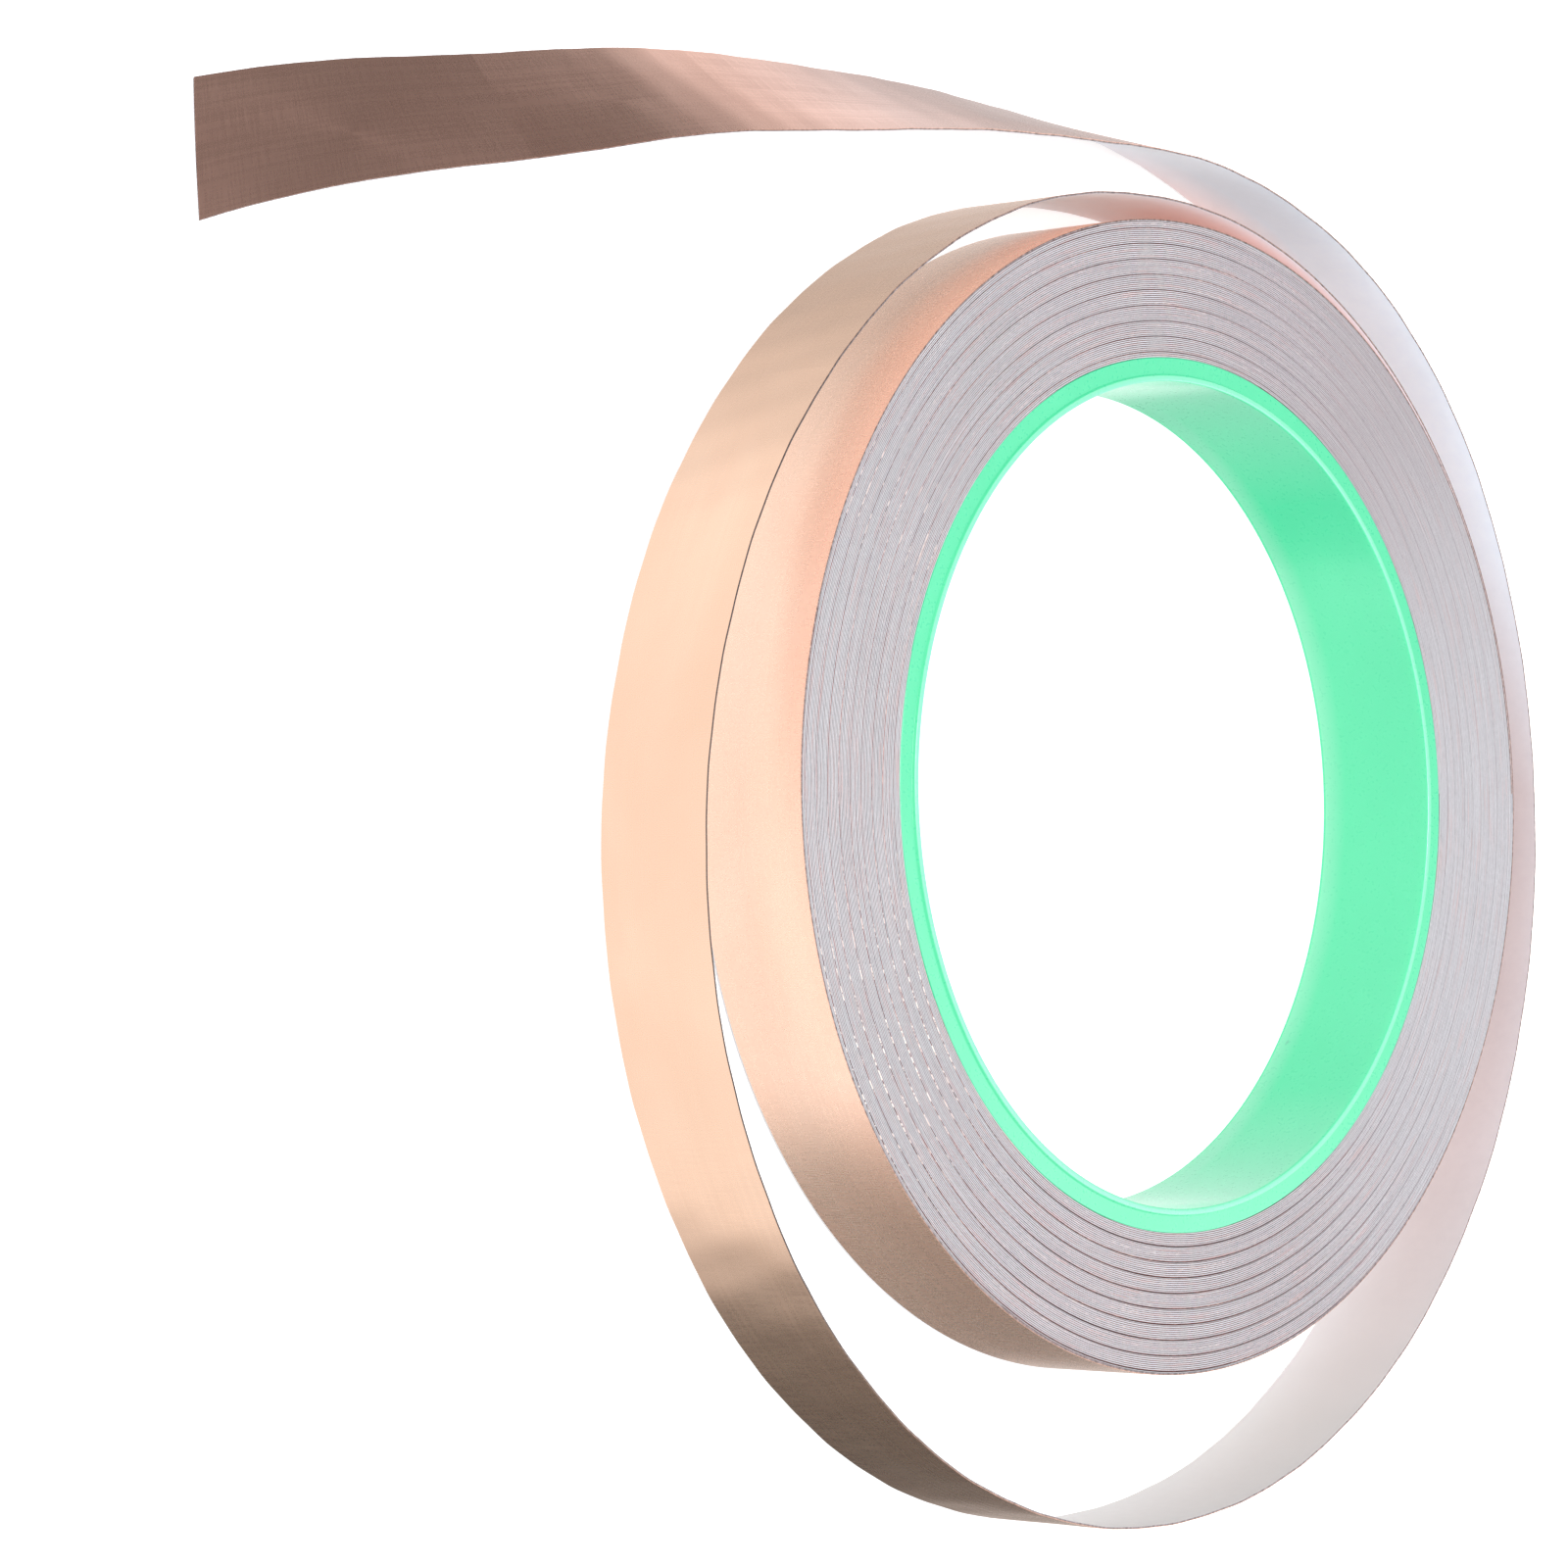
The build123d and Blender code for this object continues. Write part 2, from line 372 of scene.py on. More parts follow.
def backing_material():
    """Silicone-coated release paper with faint fibre mottling and a soft gloss.

    Where the tape leaves the pack and before the tail it is a bluish white lit copy, painted light that also shines a
    little by emission, and its lower part there takes a painted pink reflection of the copper it stands against.
    Elsewhere it is greyer, with painted shade making it a plain neutral grey up to where the loop passes 290 degrees
    round the roll."""
    n = Nodes("backing_paper")
    fibre = n.noise(n.mapped((900, 700, 1)), detail=4, roughness=0.65)
    cloud = n.noise(n.mapped((70, 60, 1)), detail=2)
    tone = n.sum_of(n.spread(fibre, 0.35, 0.65), n.spread(cloud, -0.12, 0.12))
    # Painted light: a bluish white lit copy of the paper, used where the tape leaves the pack and before the tail.
    painted_cool_light = n.ramp(tone, [(0.3, (0.70, 0.79, 0.90)), (0.7, (0.74, 0.83, 0.94))])
    plain = n.ramp(tone, [(0.3, (0.655, 0.625, 0.67)), (0.7, (0.70, 0.67, 0.71))])
    near = n.times(n.along_tape(-10, 15), n.along_tape(110, 75))
    far = n.times(n.along_tape(360, 385), n.along_tape(470, 445))
    # Painted reflection: the paper's lower part goes pink there, for the copper it stands against.
    near_painted_reflection = n.times(near, n.uv_part("V", 0.013, 0.005))
    far_painted_reflection = n.times(n.times(far, n.along_tape(452, 415)), n.uv_part("V", 0.006, 0.0006))
    painted_light_area = n.sum_of(near, far)
    # Painted shade: the paper is a plain neutral grey up to where the loop passes 290 degrees round the roll.
    plain = n.mixed(n.along_tape(325, 290), plain, (0.62, 0.63, 0.64))
    colour = n.mixed(n.sum_of(near_painted_reflection, far_painted_reflection), n.mixed(painted_light_area, plain, painted_cool_light), (0.90, 0.56, 0.48))
    n.link(colour, n.shader.inputs["Base Color"])
    # Painted glow: those lit parts also shine a little by emission.
    n.link(colour, n.shader.inputs["Emission Color"])
    n.link(n.spread(painted_light_area, 0.0, 0.13, 0.0, 1.0), n.shader.inputs["Emission Strength"])
    n.link(n.spread(fibre, 0.36, 0.48), n.shader.inputs["Roughness"])
    n.bump(fibre, 0.000008, 0.4)
    n.set(Coat_Weight=0.25, Coat_Roughness=0.22)
    return n.material


def adhesive_material():
    """Clear tacky acrylic film, a warm grey at its edge."""
    n = Nodes("adhesive_film")
    lump = n.noise(n.mapped((800, 800, 1)), detail=3)
    n.link(n.ramp(lump, [(0.35, (0.20, 0.16, 0.15)), (0.65, (0.30, 0.245, 0.23))]), n.shader.inputs["Base Color"])
    n.link(n.spread(lump, 0.25, 0.45), n.shader.inputs["Roughness"])
    n.bump(lump, 0.00001, 0.5)
    return n.material


def cut_edge_material(name, dark, light, metallic, roughness):
    """Slit edge of a layer of the tape, speckled along its length, in painted shade down the left side of the loop.
    """
    n = Nodes(name)
    speckle = n.noise(n.mapped((1800, 9000, 1)), detail=3, roughness=0.75)
    # Painted shade: the edge goes nearly black down the left side of the loop.
    shade = n.times(n.along_tape(125, 150), n.along_tape(245, 215))
    colour = n.ramp(speckle, [(0.38, dark), (0.62, light)])
    colour = n.mixed(n.spread(shade, 0.0, 0.8, 0.0, 1.0), colour, (0.02, 0.014, 0.013))
    n.link(colour, n.shader.inputs["Base Color"])
    n.link(n.spread(speckle, roughness - 0.1, roughness + 0.1), n.shader.inputs["Roughness"])
    n.bump(speckle, 0.00003, 0.7)
    n.set(Metallic=metallic)
    return n.material


def pack_paper_material():
    """Cut edges of the paper in the pack: pale grey-lilac, in fine streaks round the roll, some of them coppery."""
    n = Nodes("pack_paper_edge")
    streak = n.noise(n.mapped((70, 9000, 1)), detail=3, roughness=0.6)
    fibre = n.noise(n.mapped((1500, 9000, 1)), detail=3, roughness=0.7)
    pink_tint_and_painted_reflection = n.noise(n.mapped((160, 5200, 1)), detail=1)
    tone = n.sum_of(n.spread(streak, 0.28, 0.72), n.spread(fibre, -0.22, 0.22))
    colour = n.ramp(tone, [(0.10, (0.345, 0.338, 0.356)), (0.5, (0.455, 0.448, 0.468)), (0.88, (0.56, 0.555, 0.575))])
    colour = n.mixed(n.spread(pink_tint_and_painted_reflection, 0.0, 0.75, 0.57, 0.72), colour, (0.52, 0.385, 0.38))
    # Painted shadow of the loose turn: the paper edges darken where the shade value is high.
    colour = n.mixed(n.spread(n.value("shade"), 0.0, 0.55, 0.0, 1.0), colour, (0.31, 0.265, 0.275))
    n.link(colour, n.shader.inputs["Base Color"])
    n.link(n.spread(fibre, 0.55, 0.75), n.shader.inputs["Roughness"])
    n.bump(fibre, 0.00002, 0.5)
    return n.material


def pack_copper_material():
    """Slit edge of the copper in the pack: a tarnished brown-red line, ragged, with painted glints (bright spots that
    shine by emission) at the lower and upper left, and paled to paper grey by painted light at the right."""
    n = Nodes("pack_copper_edge")
    torn_and_painted_glint = n.noise(n.mapped((1400, 12000, 1)), detail=3, roughness=0.7)
    dash = n.noise(n.mapped((950, 1500, 1)), detail=3, roughness=0.7)
    slow = n.noise(n.mapped((60, 3000, 1)), detail=2)
    tone = n.sum_of(n.spread(torn_and_painted_glint, 0.2, 0.8), n.spread(slow, -0.25, 0.25))
    line = n.ramp(tone, [(0.35, (0.12, 0.04, 0.035)), (0.7, (0.30, 0.12, 0.10)), (0.95, (0.85, 0.56, 0.46))])
    # Painted light: the copper line goes paper grey and less metallic towards +X.
    line = n.mixed(n.value("painted_pale_side"), line, (0.27, 0.235, 0.25))
    # Painted glints: near-white spots on the open copper edge that also shine by emission.
    painted_glint_spots = n.times(n.value("torn_and_painted_glint"), n.spread(dash, 0.0, 1.0, 0.50, 0.57))
    line = n.mixed(painted_glint_spots, line, (1.0, 0.86, 0.76))
    n.link(line, n.shader.inputs["Base Color"])
    n.link(line, n.shader.inputs["Emission Color"])
    n.link(n.spread(painted_glint_spots, 0.0, 0.40, 0.0, 1.0), n.shader.inputs["Emission Strength"])
    n.link(n.spread(n.value("painted_pale_side"), 0.9, 0.0, 0.0, 1.0), n.shader.inputs["Metallic"])
    n.link(n.spread(torn_and_painted_glint, 0.22, 0.42), n.shader.inputs["Roughness"])
    n.bump(torn_and_painted_glint, 0.00008, 0.9)
    return n.material


def core_material():
    """Translucent mint plastic: soft depth, a light moulded skin, a few dark specks, and a painted highlight that
    makes the inner bead paler.

    The whole ring shines green by emission, painted light standing in for light coming through it, and the bore's
    wall shines paler at its foot and at the two ends of the Y axis, painted light as well. The uv marks the wall in U
    and the bead in V."""
    n = Nodes("core_plastic")
    swirl = n.noise(n.mapped((35, 35, 60), uv=None), detail=3, distortion=0.4)
    speck = n.noise(n.mapped((700, 700, 700), uv=None), detail=0)
    skin = n.noise(n.mapped((2600, 2600, 2600), uv=None), detail=2)
    base = n.ramp(swirl, [(0.3, (0.058, 0.29, 0.150)), (0.7, (0.070, 0.32, 0.170))])
    dot = n.spread(speck, 0.0, 0.8, 0.895, 0.91)
    plastic = n.mixed(dot, base, (0.01, 0.12, 0.06))
    # Painted highlight: the inner bead is a paler copy of the plastic.
    plastic = n.mixed(n.uv_part("V", 0.2, 0.8), plastic, (0.17, 0.37, 0.26))
    n.link(plastic, n.shader.inputs["Base Color"])
    n.link(n.spread(skin, 0.26, 0.34), n.shader.inputs["Roughness"])
    n.bump(skin, 0.000004, 0.4)
    n.set(Subsurface_Weight=0.3, Subsurface_Scale=0.003, Coat_Weight=0.6, Coat_Roughness=0.12)
    # Painted light: the bore's wall shines paler at its foot and towards the two ends of the Y axis.
    place = n.add("ShaderNodeSeparateXYZ")
    n.link(n.add("ShaderNodeTexCoord").outputs["Object"], place.inputs["Vector"])
    ends = n.spread(n.math("ABSOLUTE", place.outputs["Y"]), 0.0, 1.0, 28 * MM, 37.5 * MM)
    foot = n.spread(place.outputs["Z"], 1.0, 0.0, -6.2 * MM, -3.6 * MM)
    pale = n.times(n.uv_part("U", 0.2, 0.8), n.sum_of(ends, foot))
    # Painted light: the whole ring shines green by emission, for light coming through the plastic.
    glow = n.ramp(swirl, [(0.3, (0.025, 0.90, 0.455)), (0.7, (0.035, 0.90, 0.465))])
    glow = n.mixed(pale, glow, (0.40, 1.0, 0.74))
    n.link(glow, n.shader.inputs["Emission Color"])
    n.set(Emission_Strength=0.45)
    n.shader.inputs["Subsurface Radius"].default_value = (0.4, 1.0, 0.7)
    return n.material


COPPER = copper_material()
BACKING = backing_material()
ADHESIVE = adhesive_material()
PACK_PAPER = pack_paper_material()
PACK_COPPER = pack_copper_material()
CORE_PLASTIC = core_material()
STRIP_MATERIALS = {"liner": BACKING, "adhesive": ADHESIVE, "foil": COPPER}
EDGE_MATERIALS = {
    "liner": cut_edge_material("backing_edge", (0.10, 0.08, 0.08), (0.34, 0.29, 0.30), 0.0, 0.7),
    "adhesive": cut_edge_material("adhesive_edge", (0.06, 0.045, 0.04), (0.16, 0.12, 0.11), 0.0, 0.4),
    "foil": cut_edge_material("copper_edge", (0.30, 0.15, 0.11), (0.75, 0.45, 0.34), 1.0, 0.35),
}


# ---------------------------------------------------------------------------------------------------------
# Core
# ---------------------------------------------------------------------------------------------------------
def rounded_profile(corners, radii, steps=8):
    """Corners of a closed outline with each one rounded to its radius."""
    outline = []
    count = len(corners)
    for i, (corner, radius) in enumerate(zip(corners, radii)):
        corner = np.array(corner)
        before = np.array(corners[i - 1]) - corner
        after = np.array(corners[(i + 1) % count]) - corner
        before /= np.linalg.norm(before)
        after /= np.linalg.norm(after)
        half = math.acos(float(before @ after)) / 2
        start = corner + before * radius / math.tan(half)
        end = corner + after * radius / math.tan(half)
        for step in range(steps + 1):
            t = step / steps
            outline.append((1 - t) ** 2 * start + 2 * t * (1 - t) * corner + t ** 2 * end)
    return np.array(outline)


def make_core():
    """Moulded ring with a small raised bead round each end of the bore."""
    segments = 360
    half = CORE_HIGH.z
    flat = half - 0.27 * MM
    bead = BORE_RADIUS + 0.52 * MM
    foot = BORE_RADIUS + 0.66 * MM
    wall = half - 0.4 * MM
    corners = [
        (BORE_RADIUS, -half), (bead, -half), (foot, -flat), (CORE_RADIUS, -flat),
        (CORE_RADIUS, flat), (foot, flat), (bead, half), (BORE_RADIUS, half),
    ]
    profile = rounded_profile(corners, [r * MM for r in (0.18, 0.12, 0.07, 0.10, 0.10, 0.07, 0.12, 0.18)])
    profile = np.concatenate([profile, [[BORE_RADIUS, wall], [BORE_RADIUS, -wall]]])
    turned = np.radians(np.arange(segments) * 360 / segments)
    radius = profile[None, :, 0]
    vertices = np.stack([
        radius * np.cos(turned)[:, None], radius * np.sin(turned)[:, None],
        profile[None, :, 1] + 0 * turned[:, None],
    ], -1).reshape(-1, 3)
    size = len(profile)
    faces = []
    for i in range(segments):
        after = (i + 1) % segments
        for j in range(size):
            k = (j + 1) % size
            faces.append((i * size + j, i * size + k, after * size + k, after * size + j))
    on_bead = (np.abs(profile[:, 1]) > half - 0.06 * MM) & (profile[:, 0] < foot)
    on_wall = (profile[:, 0] < BORE_RADIUS + 0.005 * MM) & (np.abs(profile[:, 1]) < wall + 0.02 * MM)
    uv = np.stack([np.tile(on_wall * 1.0, (segments, 1)), np.tile(on_bead * 1.0, (segments, 1))], -1)
    core = mesh_object("core_ring", vertices, faces, CORE_PLASTIC, uv.reshape(-1, 2))
    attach(core, "root")
    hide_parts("core")


# ---------------------------------------------------------------------------------------------------------
# Wound pack: eight plies side by side, winding outwards together, with an open copper edge once a turn
# ---------------------------------------------------------------------------------------------------------
PACK_PITCH = 1.42 * MM
PLIES = 8
PLY = PACK_PITCH / PLIES
PACK_INNER = CORE_RADIUS + 0.04 * MM
SPIRAL_START = CORE_RADIUS + 0.20 * MM - PACK_PITCH
SPIRAL_TURNS = 12
DEGREES_PER_STEP = 2

# Least width of a ply where the core or the last tight turn cuts it, and how unevenly its edges stand out: a new
# random height every so many degrees, with this spread
LEAST_PLY = 0.004 * MM
WAVE_SPACING = 24
WAVE_SIZE = 0.008 * MM


def slow_noise(angles, spacing, size):
    """Smooth random values along a strip, one new value every so many degrees."""
    knots = np.arange(angles[0] - spacing, angles[-1] + 2 * spacing, spacing)
    values = rng.normal(0, size, len(knots))
    t = (angles - knots[0]) / spacing
    i = t.astype(int)
    f = t - i
    f = f * f * (3 - 2 * f)
    return values[i] * (1 - f) + values[i + 1] * f


def pack_limit(angles):
    """Inside of the last tight turn, at angles round the roll."""
    return loose_radius(angles % 360 - 360) - 0.01 * MM


def spiral_strip(inner, outer, inset, gap=0.0):
    """One closed strip of a ply between two offsets from the spiral, as points, faces and uv.

    The gap before it is widest towards -Y, less wide towards +Y, and closed between."""
    steps = np.arange(0, 360 * SPIRAL_TURNS, DEGREES_PER_STEP).astype(float)
    base = SPIRAL_START + PACK_PITCH * steps / 360
    limit = pack_limit(steps)
    inside = (base + outer > PACK_INNER + 0.01 * MM) & (base + inner < limit - 0.02 * MM)
    angles = steps[inside]
    base = base[inside]
    turned = np.radians(angles)
    open_part = (0.5 - 0.5 * np.cos(2 * turned)) * np.where(np.sin(turned) < 0, 1.0, 0.4)
    far = np.minimum(base + outer, limit[inside])
    near = np.minimum(np.maximum(base + inner + gap * open_part, PACK_INNER), far - LEAST_PLY)
    low = TAPE_LOW + inset + slow_noise(angles, WAVE_SPACING, WAVE_SIZE)
    high = TAPE_HIGH - inset + slow_noise(angles, WAVE_SPACING, WAVE_SIZE)
    rings = []
    around = []
    for radius, z in ((near, low), (far, low), (far, high), (near, high)):
        rings.append(np.stack([radius * np.cos(turned), radius * np.sin(turned), z], -1))
        around.append(np.stack([base * turned, radius], -1))
    faces = tube_faces(len(angles), 4)
    return np.stack(rings, 1).reshape(-1, 3), faces, np.stack(around, 1).reshape(-1, 2)


def make_pack_layer(name, material, node, spans):
    """All plies of one layer of the pack as one piece. spans gives (inner, outer, inset, gap) for each ply.

    Its points carry where painted glints sit on the open copper edge, where painted light pales the copper to paper
    grey, and how far painted shadow of the loose turn darkens the pack, by the compass direction they lie in."""
    vertices = []
    faces = []
    uv = []
    open_edge = []
    count = 0
    for ply, (inner, outer, inset, gap) in enumerate(spans):
        points, quads, around = spiral_strip(ply * PLY + inner, ply * PLY + outer, inset, gap)
        vertices.append(points)
        uv.append(around)
        open_edge.append(np.full(len(points), float(ply == PLIES - 1)))
        faces += [tuple(v + count for v in quad) for quad in quads]
        count += len(points)
    vertices = np.concatenate(vertices)
    piece = mesh_object(name, vertices, faces, material, np.concatenate(uv), smooth=False)
    side = np.degrees(np.arctan2(vertices[:, 1], vertices[:, 0])) % 360
    # Painted glints: where bright spots sit on the open copper edge, towards the lower and upper left.
    torn_and_painted_glint = np.exp(-((side - 206) / 17) ** 2) + 0.6 * np.exp(-((side - 148) / 8) ** 2)
    torn_and_painted_glint *= np.concatenate(open_edge)
    # Painted light: how far the copper lines are paled to paper grey, strongest towards +X.
    painted_pale_side = 0.5 + 0.5 * np.tanh((np.cos(np.radians(side - 5)) - 0.45) * 4)
    # Painted shadow of the loose turn, centred 50 degrees round from +X.
    shade = np.exp(-(((side - 50 + 180) % 360 - 180) / 24) ** 2)
    for label, values in (("torn_and_painted_glint", torn_and_painted_glint), ("painted_pale_side", painted_pale_side), ("shade", shade)):
        piece.data.attributes.new(label, "FLOAT", "POINT").data.foreach_set("value", values)
    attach(piece, "root")
    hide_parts(node)


def make_pack():
    """Paper, adhesive and copper edges of the pack, with an open copper edge and a gap once a turn."""
    last = PLIES - 1
    paper = [(0.0, 0.104 * MM, 0.0, 0.06 * MM if ply == 0 else 0.0) for ply in range(PLIES)]
    paper[last] = (0.0, 0.085 * MM, 0.0, 0.0)
    film = [(0.105 * MM, 0.130 * MM, 0.05 * MM, 0.0) for ply in range(PLIES)]
    film[last] = (0.086 * MM, 0.105 * MM, 0.05 * MM, 0.0)
    foil = [(0.131 * MM, PLY - 0.002 * MM, 0.03 * MM, 0.0) for ply in range(PLIES)]
    foil[last] = (0.106 * MM, PLY - 0.008 * MM, 0.0, 0.0)
    make_pack_layer("pack_backing", PACK_PAPER, "winding_liner", paper)
    make_pack_layer("pack_adhesive", ADHESIVE, "winding_adhesive", film)
    make_pack_layer("pack_copper", PACK_COPPER, "winding_foil", foil)


# ---------------------------------------------------------------------------------------------------------
# Tape: the last tight turn, the loose turn and the tail
# ---------------------------------------------------------------------------------------------------------
ANGLE_STEP = 0.75
HEIGHT_COUNT = 9


def strip_piece(name, layer, start, end, inner, outer):
    """A closed piece of one layer of the tape between two angles."""
    count = max(6, int(math.ceil((end - start) / ANGLE_STEP)) + 1)
    angles = np.linspace(start, end, count)
    heights = np.linspace(0, TAPE_WIDTH, HEIGHT_COUNT)
    inside, distance = loose_points(angles, heights, inner)
    outside, _ = loose_points(angles, heights[::-1], outer)
    ring = np.concatenate([inside, outside], 1)
    around = np.concatenate([heights, heights[::-1]])
    uv = np.stack([np.repeat(distance[:, :1], len(around), 1), np.tile(around, (count, 1))], -1)
    size = 2 * HEIGHT_COUNT
    faces = []
    is_edge = []
    for i in range(count - 1):
        for j in range(size):
            k = (j + 1) % size
            faces.append((i * size + j, (i + 1) * size + j, (i + 1) * size + k, i * size + k))
            is_edge.append(j in (HEIGHT_COUNT - 1, size - 1))
    faces.append(tuple(range(size)))
    faces.append(tuple((count - 1) * size + j for j in range(size))[::-1])
    is_edge += [True, True]
    piece = mesh_object(name, ring.reshape(-1, 3), faces, STRIP_MATERIALS[layer], uv.reshape(-1, 2),
                        edge=EDGE_MATERIALS[layer], is_edge=is_edge)
    sharpen_edges(piece)
    return piece


def sharpen_edges(piece):
    """Marks the strip's long and short edges sharp, so that its faces shade flat up to them."""
    mesh = piece.data
    sharp = mesh.attributes.new("sharp_edge", "BOOLEAN", "EDGE")
    normals = np.empty(len(mesh.polygons) * 3)
    mesh.polygons.foreach_get("normal", normals)
    normals = normals.reshape(-1, 3)
    edge_faces = {}
    for polygon in mesh.polygons:
        for key in polygon.edge_keys:
            edge_faces.setdefault(key, []).append(polygon.index)
    flags = []
    for edge in mesh.edges:
        sides = edge_faces[tuple(sorted(edge.vertices))]
        flags.append(len(sides) == 2 and float(normals[sides[0]] @ normals[sides[1]]) < 0.7)
    sharp.data.foreach_set("value", flags)


def middle_angles():
    """Angles half way between bend lines, where one piece of tape hands over to the next."""
    return [(BENDS[i] + BENDS[i + 1]) / 2 for i in range(len(BENDS) - 1)]


def make_tape():
    """Every layer of the strip, in pieces that each span one bend line."""
    middles = middle_angles()
    for layer, inner, outer in LAYERS:
        wound = strip_piece(f"tape_{layer}_wound", layer, TAPE_START, WOUND_END, inner, outer)
        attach(wound, "root")
        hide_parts(f"last_turn_{layer}")
        bends = BENDS if layer != "liner" else BENDS[:-1]
        for i, bend in enumerate(bends):
            start = middles[i - 1] if i else WOUND_END
            end = middles[i] if i + 1 < len(bends) else TAPE_END
            piece = strip_piece(f"tape_{layer}_{i + 1}", layer, start, end, inner, outer)
            reach_end = middles[i] if i < len(middles) else (bend + TAPE_END) / 2
            reach_start = start if i < len(middles) else bend
            line_point(reach_start)
            line_point(reach_end)
            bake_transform(piece)
            nodes = [f"lead_{layer}"] if i == 0 else []
            if BODIES[i + 1] != "tip" or layer != "liner":
                nodes.append(f"{BODIES[i + 1]}_{layer}")
            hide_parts(*nodes)


def line_point(angle):
    """Point on the middle line of the tape."""
    points, _ = loose_points(np.array([float(angle)]), np.array([TAPE_WIDTH / 2]), THICKNESS / 2)
    return tuple(points[0, 0])


# ---------------------------------------------------------------------------------------------------------
# Floor, light and camera
# ---------------------------------------------------------------------------------------------------------
def make_floor():
    """Pale table under the roll. Polished metal on it mirrors the room, not the table."""
    size = 12.0
    corners = [(-size, -size), (size, -size), (size, size), (-size, size)]
    n = Nodes("floor_paper")
    tone = n.noise(n.mapped((40, 40, 40), uv=None), detail=2)
    n.link(n.ramp(tone, [(0.3, (0.70, 0.70, 0.70)), (0.7, (0.72, 0.72, 0.72))]), n.shader.inputs["Base Color"])
    n.set(Roughness=0.9, Emission_Color=(1, 1, 1, 1), Emission_Strength=0.5)
    floor = mesh_object("floor", [(x, y, TABLE - 0.02 * MM) for x, y in corners], [(0, 1, 2, 3)], n.material)
    floor.visible_glossy = False


# Brightness of the room by compass direction in degrees, at four heights. The upright copper mirrors the low
# room, the tail the middle and side rooms.
LOW_ROOM = [
    (-180, 1.17), (-155, 1.19), (-137, 1.14), (-122, 1.30), (-114, 1.16), (-107, 0.32), (-101, 0.18), (-82, 0.14),
    (-60, 0.11), (-45, 0.12), (-30, 0.22), (-18, 0.95), (0, 1.15), (14, 1.0), (32, 0.72), (50, 0.62), (63, 0.58),
    (80, 0.74), (98, 0.98), (115, 1.24), (132, 1.19), (155, 1.16), (180, 1.17),
]
MIDDLE_ROOM = [
    (-180, 1.0), (-120, 1.0), (-90, 0.6), (-50, 0.9), (-25, 1.2), (5, 1.0), (22, 0.45), (33, 0.60), (43, 1.55),
    (70, 0.95), (110, 1.1), (180, 1.0),
]
SIDE_ROOM = [(-180, 1.0), (-20, 1.0), (20, 0.21), (80, 0.20), (105, 0.55), (130, 1.0), (180, 1.0)]
HIGH_ROOM = (0.97, 0.99, 1.04)


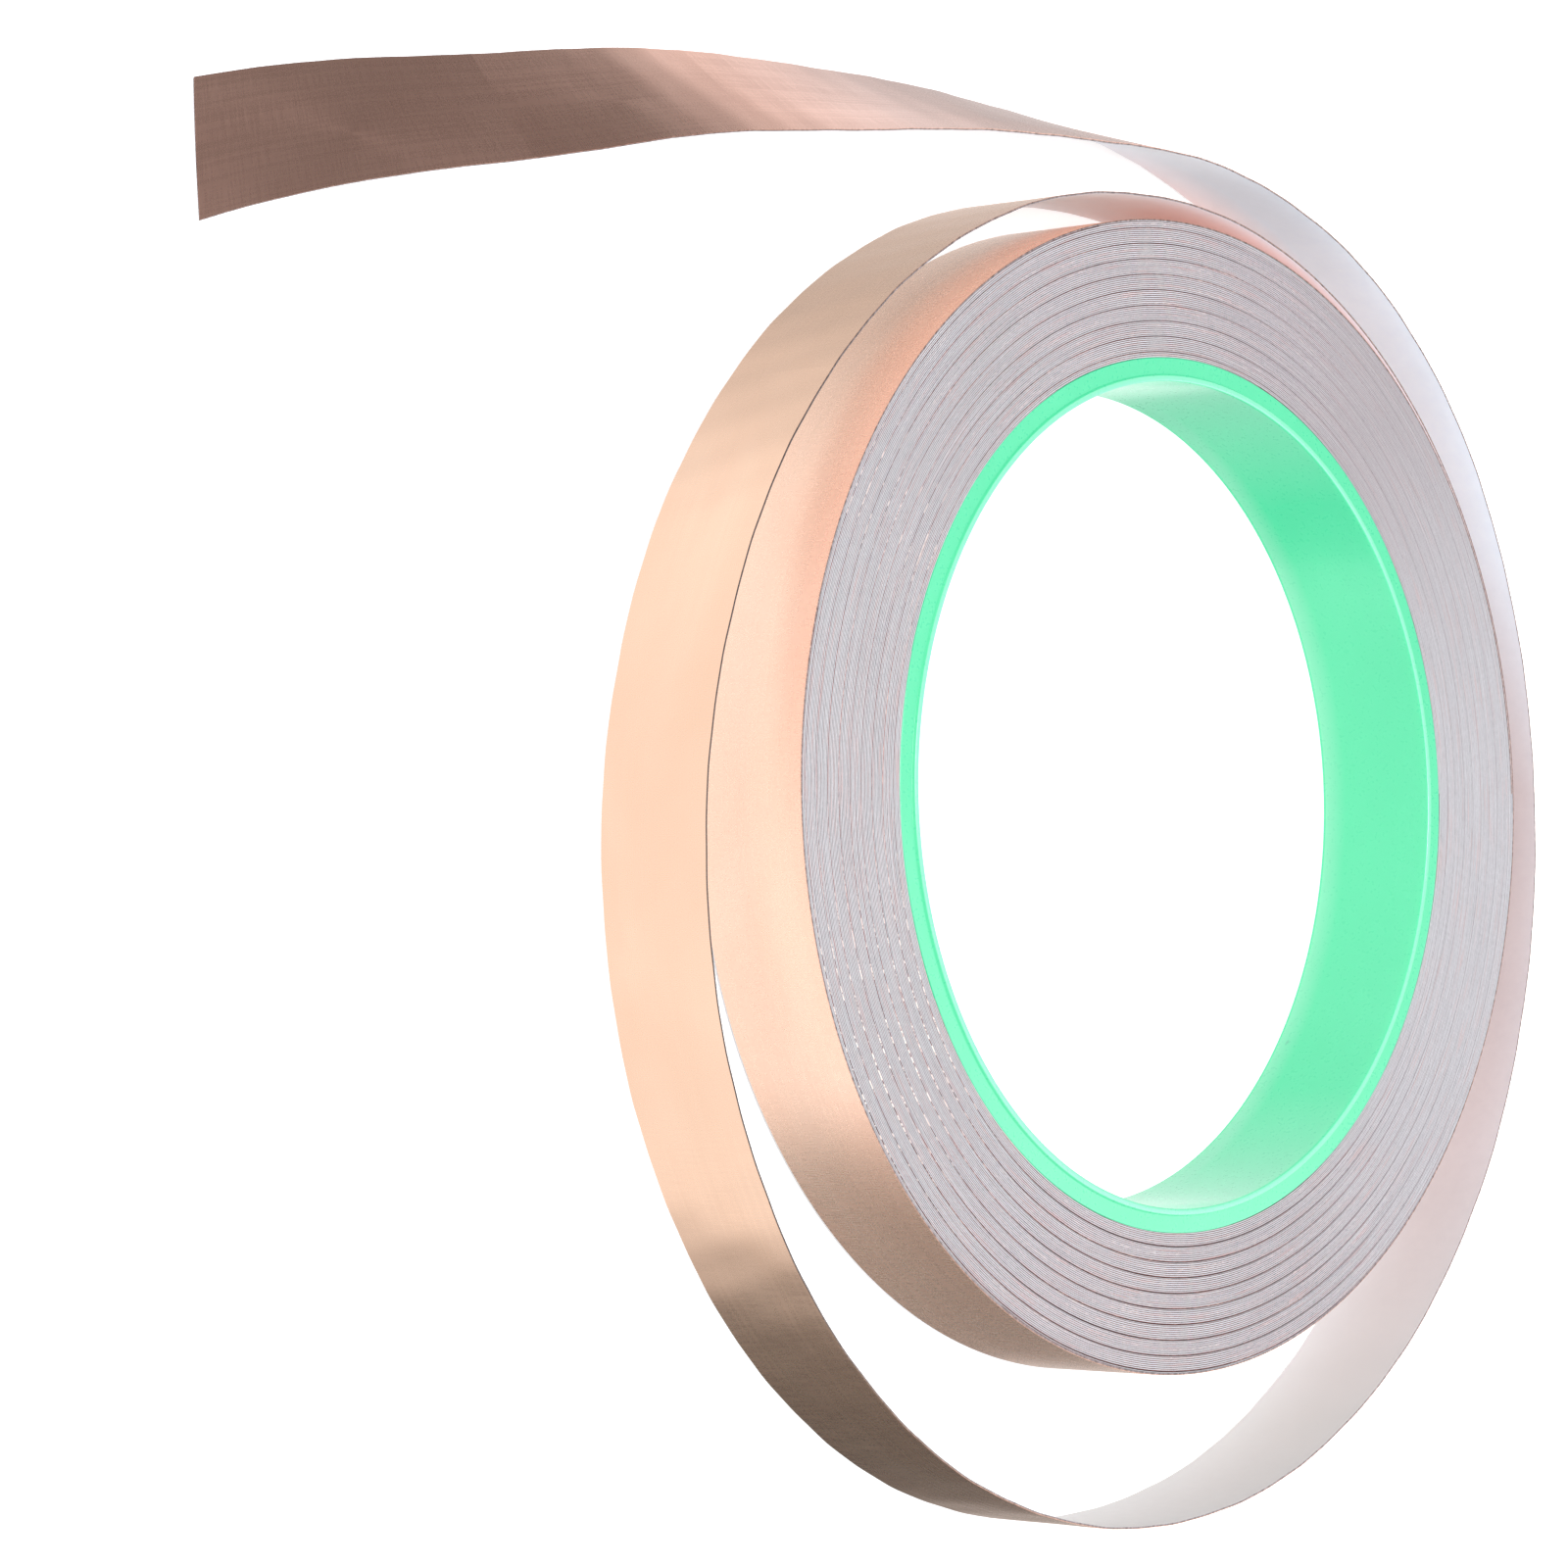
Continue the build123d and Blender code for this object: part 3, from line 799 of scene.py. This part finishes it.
def make_world():
    """Soft white room with brighter and darker sides."""
    world = bpy.data.worlds.new("studio")
    bpy.context.scene.world = world
    world.use_nodes = True
    tree = world.node_tree
    add = tree.nodes.new
    link = tree.links.new

    def spread(source, from_low, from_high, to_low=0.0, to_high=1.0, smooth=True):
        node = add("ShaderNodeMapRange")
        node.interpolation_type = "SMOOTHSTEP" if smooth else "LINEAR"
        node.inputs["From Min"].default_value = from_low
        node.inputs["From Max"].default_value = from_high
        node.inputs["To Min"].default_value = to_low
        node.inputs["To Max"].default_value = to_high
        link(source, node.inputs["Value"])
        return node.outputs["Result"]

    def sides(azimuth, stops):
        node = add("ShaderNodeValToRGB")
        ramp = node.color_ramp
        ramp.interpolation = "EASE"
        while len(ramp.elements) > 1:
            ramp.elements.remove(ramp.elements[0])
        for i, (degrees, level) in enumerate(stops):
            element = ramp.elements[0] if i == 0 else ramp.elements.new((degrees + 180) / 360)
            element.position = (degrees + 180) / 360
            element.color = (level / 2, level / 2, level / 2, 1)
        link(azimuth, node.inputs["Fac"])
        return node.outputs["Color"]

    def blended(factor, first, second):
        node = add("ShaderNodeMix")
        node.data_type = "RGBA"
        link(factor, node.inputs["Factor"])
        link(first, node.inputs["A"])
        link(second, node.inputs["B"])
        return node.outputs["Result"]

    coordinate = add("ShaderNodeTexCoord")
    split = add("ShaderNodeSeparateXYZ")
    link(coordinate.outputs["Generated"], split.inputs["Vector"])
    turn = add("ShaderNodeMath")
    turn.operation = "ARCTAN2"
    link(split.outputs["Y"], turn.inputs[0])
    link(split.outputs["X"], turn.inputs[1])
    azimuth = spread(turn.outputs["Value"], -math.pi, math.pi, smooth=False)
    high = add("ShaderNodeRGB")
    high.outputs["Color"].default_value = (*[level / 2 for level in HIGH_ROOM], 1)
    height = split.outputs["Z"]
    low = blended(spread(height, -0.56, -0.38), sides(azimuth, LOW_ROOM), sides(azimuth, MIDDLE_ROOM))
    side = blended(spread(height, -0.24, -0.08), low, sides(azimuth, SIDE_ROOM))
    whole = blended(spread(height, 0.50, 0.75), side, high.outputs["Color"])
    background = tree.nodes["Background"]
    link(whole, background.inputs["Color"])
    background.inputs["Strength"].default_value = 2.0
    world.cycles.sampling_method = "NONE"


def add_area(name, place, aim, size, power, colour):
    light = bpy.data.lights.new(name, "AREA")
    light.shape = "DISK"
    light.size = size
    light.energy = power
    light.color = colour
    lamp = bpy.data.objects.new(name, light)
    bpy.context.scene.collection.objects.link(lamp)
    lamp.location = place
    lamp.rotation_euler = (Vector(aim) - Vector(place)).to_track_quat("-Z", "Y").to_euler()
    return lamp


def make_lights():
    add_area("soft_key", (-0.34, 0.08, 0.75), (0, 0, 0), 0.32, 5.0, (1.0, 0.99, 0.98))
    add_area("soft_fill", (0.45, -0.35, 0.6), (0, 0, 0), 0.8, 2.5, (0.92, 0.96, 1.0))


def make_camera():
    """Three-quarter view from the left, with the roll's far side turned to the right of the picture."""
    place = Vector((-0.3770, -0.0069, 0.2974))
    aim = Vector((-0.0415, 0.0013, -0.0063))
    upward = Vector((0, 1, 0.027))
    back = (place - aim).normalized()
    right = upward.cross(back).normalized()
    up = back.cross(right)
    data = bpy.data.cameras.new("camera")
    data.lens = 118.6
    data.sensor_width = 36.0
    data.clip_start = 0.01
    data.clip_end = 20
    camera = bpy.data.objects.new("camera", data)
    bpy.context.scene.collection.objects.link(camera)
    rotation = Matrix((right, up, back)).transposed()
    camera.matrix_world = Matrix.Translation(place) @ rotation.to_4x4()
    bpy.context.scene.camera = camera


make_camera()
make_core()
make_pack()
make_tape()
make_floor()
make_world()
make_lights()
bpy.context.scene.view_settings.view_transform = "Standard"
